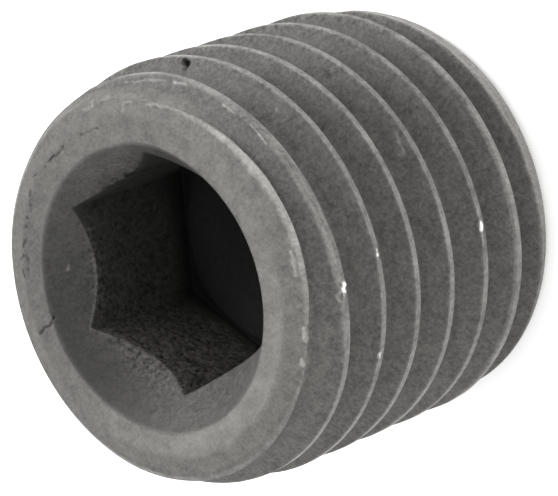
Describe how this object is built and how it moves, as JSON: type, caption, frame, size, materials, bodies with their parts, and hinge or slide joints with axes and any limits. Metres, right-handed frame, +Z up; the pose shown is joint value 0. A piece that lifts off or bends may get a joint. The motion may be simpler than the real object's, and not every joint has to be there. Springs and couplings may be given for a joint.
{
  "type": "hexagon socket screw plug",
  "caption": "Headless screw plug with a tapered fine right-hand thread, chamfered ends and a countersunk hexagon socket in one end.",
  "frame": {"origin": "centre of the flat inner end, on the thread axis, at the bottom of the part", "axes": "+Z up along the thread axis, out of the hexagon socket; +X through one corner of the hexagon"},
  "size_m": [0.0122, 0.0122, 0.0105],
  "materials": {
    "phosphated_steel": "matt dark grey phosphate, fine speckle, bare wear on the thread crests"
  },
  "bodies": {
    "root": {"screw_plug": "phosphated_steel"}
  },
  "joints": []
}
